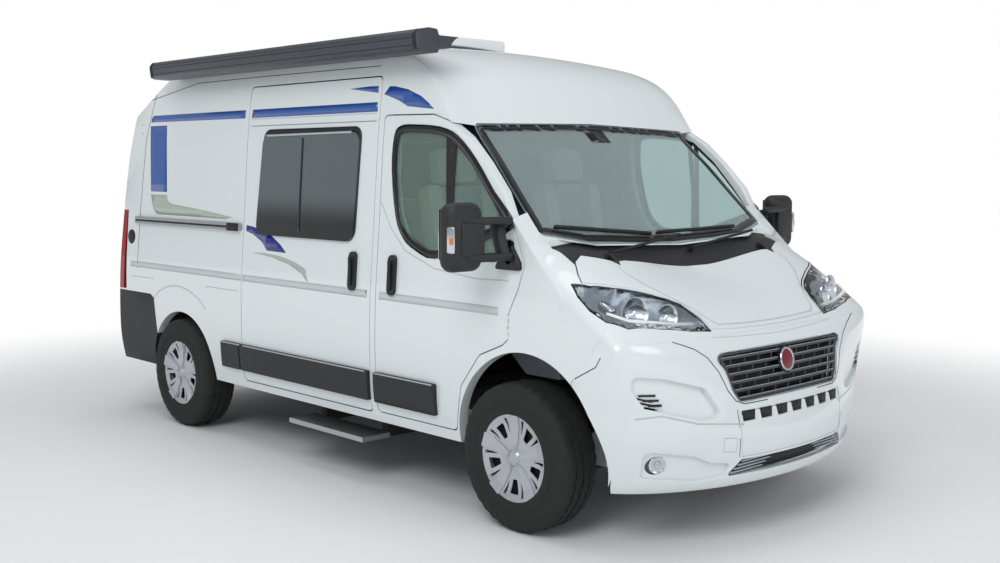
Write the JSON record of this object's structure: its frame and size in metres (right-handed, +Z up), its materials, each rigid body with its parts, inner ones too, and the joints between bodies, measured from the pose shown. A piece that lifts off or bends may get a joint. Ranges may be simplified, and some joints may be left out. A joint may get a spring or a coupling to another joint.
{
  "type": "camper van",
  "caption": "High-roof camper van with cab doors, sliding side door, rear doors, roof awning case, entry step and steered front wheels.",
  "frame": {"origin": "on the ground under the middle of the van's overall box", "axes": "+X towards the front of the van, +Y to its left side, +Z up"},
  "size_m": [4.7011, 2.66, 2.3999],
  "materials": {
    "anodised_rail": "anodised",
    "awning_grey": "anthracite powder coat",
    "axle_steel": "black paint",
    "black_plastic": "grained black",
    "body_paint": "gloss white",
    "bonnet_paint": "gloss white",
    "bumper_paint": "gloss white",
    "dash_plastic": "dark grey",
    "door_glass": "clear green tint",
    "door_paint": "gloss white",
    "door_trim_plastic": "grained black",
    "engine_metal": "cast",
    "fog_lens": "clear",
    "grille_plastic": "dark grey",
    "headlamp_lens": "clear",
    "knuckle_iron": "cast",
    "rear_bumper_plastic": "grained black",
    "rear_glass": "dark tint",
    "screen_glass": "clear green tint",
    "seat_fabric": "beige and grey cloth",
    "side_trim_plastic": "grained black",
    "skylight_white": "white",
    "sliding_door_paint": "gloss white",
    "steering_wheel_black": "black",
    "step_aluminium": "ribbed",
    "tail_lens": "red",
    "tank_plastic": "black",
    "tinted_acrylic": "dark tinted",
    "tyre_rubber": "matt",
    "underbody_coating": "matt black",
    "wheel_silver": "silver",
    "wiper_black": "satin black"
  },
  "bodies": {
    "van": {"awning_case": "awning_grey", "body_shell": "body_paint", "cab_seats": "seat_fabric", "cowl_panel": "black_plastic", "dashboard": "dash_plastic", "engine_block": "engine_metal", "fog_lamps": "fog_lens", "front_axle": "axle_steel", "front_bumper": "bumper_paint", "grille": "grille_plastic", "headlamps": "headlamp_lens", "rear_axle": "axle_steel", "rear_bumper": "rear_bumper_plastic", "roof_skylight": "skylight_white", "side_trim": "side_trim_plastic", "side_windows": "tinted_acrylic", "sliding_door": "sliding_door_paint", "sliding_rail": "anodised_rail", "steering_wheel": "steering_wheel_black", "tail_lamps": "tail_lens", "tanks_and_exhaust": "tank_plastic", "underbody": "underbody_coating", "windscreen": "screen_glass", "wipers": "wiper_black"},
    "bonnet_lid": {"bonnet": "bonnet_paint"},
    "step_slide": {"entry_step": "step_aluminium"},
    "cab_door_left": {"front_door_glass_left": "door_glass", "front_door_left": "door_paint", "front_door_trim_left": "door_trim_plastic"},
    "cab_door_right": {"front_door_glass_right": "door_glass", "front_door_right": "door_paint", "front_door_trim_right": "door_trim_plastic"},
    "steering_left": {"knuckle_left": "knuckle_iron"},
    "steering_right": {"knuckle_right": "knuckle_iron"},
    "tail_door_left": {"rear_door_glass_left": "rear_glass", "rear_door_left": "door_paint"},
    "tail_door_right": {"rear_door_glass_right": "rear_glass", "rear_door_right": "door_paint"},
    "road_wheel_front_left": {"tyre_front_left": "tyre_rubber", "wheel_front_left": "wheel_silver"},
    "road_wheel_front_right": {"tyre_front_right": "tyre_rubber", "wheel_front_right": "wheel_silver"},
    "road_wheel_rear_left": {"tyre_rear_left": "tyre_rubber", "wheel_rear_left": "wheel_silver"},
    "road_wheel_rear_right": {"tyre_rear_right": "tyre_rubber", "wheel_rear_right": "wheel_silver"}
  },
  "joints": [
    {"name": "cab_door_right_hinge", "type": "hinge", "parent": "van", "child": "cab_door_right", "pos_m": [1.457, -0.99854, 0.9], "axis": [0, 0, 1], "range_deg": [0, 68]},
    {"name": "cab_door_left_hinge", "type": "hinge", "parent": "van", "child": "cab_door_left", "pos_m": [1.457, 0.99854, 0.9], "axis": [0, 0, -1], "range_deg": [0, 68]},
    {"name": "tail_door_right_hinge", "type": "hinge", "parent": "van", "child": "tail_door_right", "pos_m": [-2.338, -0.92408, 1], "axis": [0, 0, 1], "range_deg": [0, 180]},
    {"name": "tail_door_left_hinge", "type": "hinge", "parent": "van", "child": "tail_door_left", "pos_m": [-2.338, 0.92408, 1], "axis": [0, 0, -1], "range_deg": [0, 180]},
    {"name": "bonnet_hinge", "type": "hinge", "parent": "van", "child": "bonnet_lid", "pos_m": [1.706, 0.6, 1.25], "axis": [0, -1, 0], "range_deg": [0, 55]},
    {"name": "step_extend", "type": "slide", "parent": "van", "child": "step_slide", "axis": [0, -1, 0], "range_m": [0, 0.22]},
    {"name": "steering_right_pivot", "type": "hinge", "parent": "van", "child": "steering_right", "pos_m": [1.5, -0.86, 0.341], "axis": [0, 0, 1], "range_deg": [-33, 33]},
    {"name": "wheel_front_right_spin", "type": "hinge", "parent": "steering_right", "child": "road_wheel_front_right", "pos_m": [1.5, -0.905, 0.341], "axis": [0, 1, 0], "continuous": true},
    {"name": "wheel_rear_right_spin", "type": "hinge", "parent": "van", "child": "road_wheel_rear_right", "pos_m": [-1.5, -0.905, 0.341], "axis": [0, 1, 0], "continuous": true},
    {"name": "steering_left_pivot", "type": "hinge", "parent": "van", "child": "steering_left", "pos_m": [1.5, 0.86, 0.341], "axis": [0, 0, 1], "range_deg": [-33, 33]},
    {"name": "wheel_front_left_spin", "type": "hinge", "parent": "steering_left", "child": "road_wheel_front_left", "pos_m": [1.5, 0.905, 0.341], "axis": [0, 1, 0], "continuous": true},
    {"name": "wheel_rear_left_spin", "type": "hinge", "parent": "van", "child": "road_wheel_rear_left", "pos_m": [-1.5, 0.905, 0.341], "axis": [0, 1, 0], "continuous": true}
  ],
  "couplings": [
    {"joint": "steering_left_pivot", "follows": "steering_right_pivot", "ratio": 1}
  ]
}
